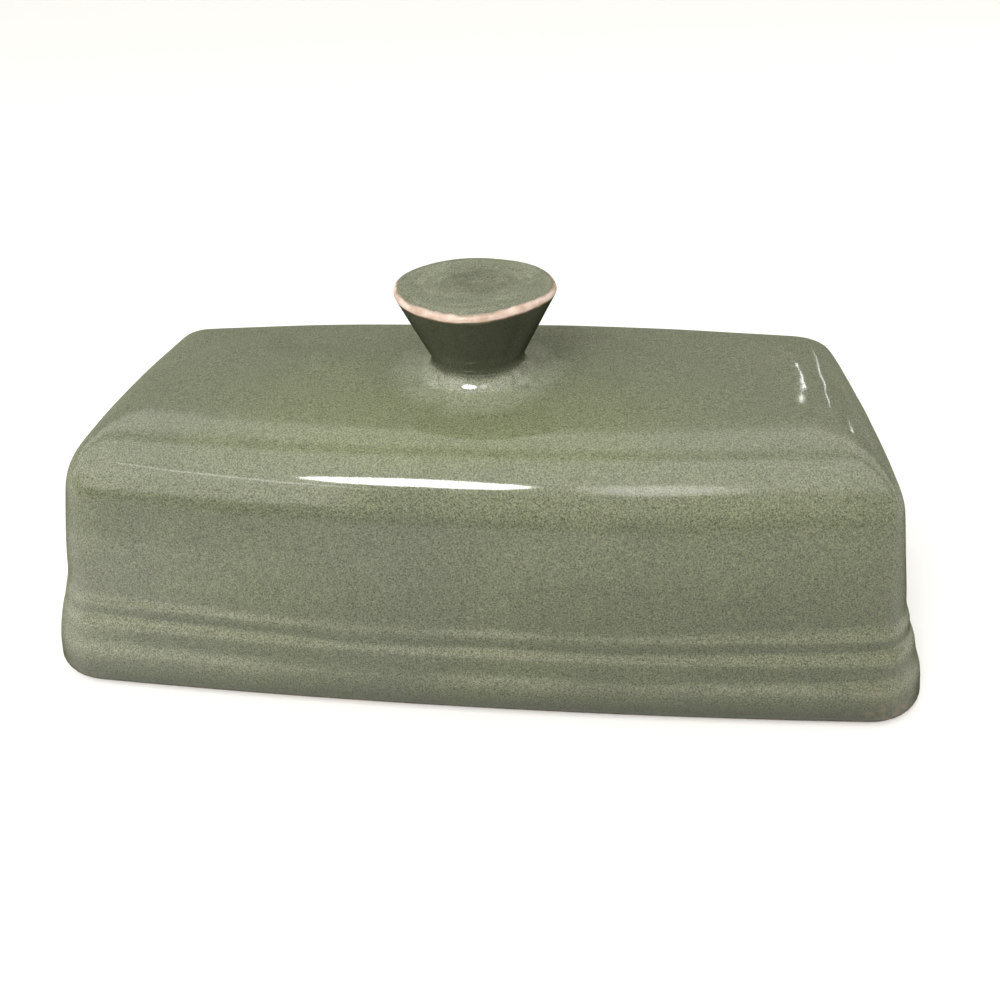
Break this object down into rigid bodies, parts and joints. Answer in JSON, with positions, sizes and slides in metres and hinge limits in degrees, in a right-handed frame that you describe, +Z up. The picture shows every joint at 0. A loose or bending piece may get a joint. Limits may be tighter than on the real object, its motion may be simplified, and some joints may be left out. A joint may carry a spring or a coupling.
{
  "type": "covered butter dish",
  "caption": "Rectangular glazed stoneware butter dish: a leaning, ribbed cover with a flared pull knob, over a low tray on a foot ring.",
  "frame": {"origin": "on the surface the dish stands on, under the middle of the cover", "axes": "+X along the dish's long side, +Y across it, +Z up through the knob"},
  "size_m": [0.181, 0.092, 0.0716],
  "materials": {
    "cover_glaze": "gloss",
    "knob_glaze": "gloss",
    "tray_glaze": "gloss"
  },
  "bodies": {
    "tray": {"tray": "tray_glaze"},
    "cover": {"cover_shell": "cover_glaze", "cover_knob": "knob_glaze"}
  },
  "joints": [
    {"name": "cover_lift", "type": "slide", "parent": "tray", "child": "cover", "axis": [0, 0, 1], "range_m": [0, 0.12]}
  ]
}
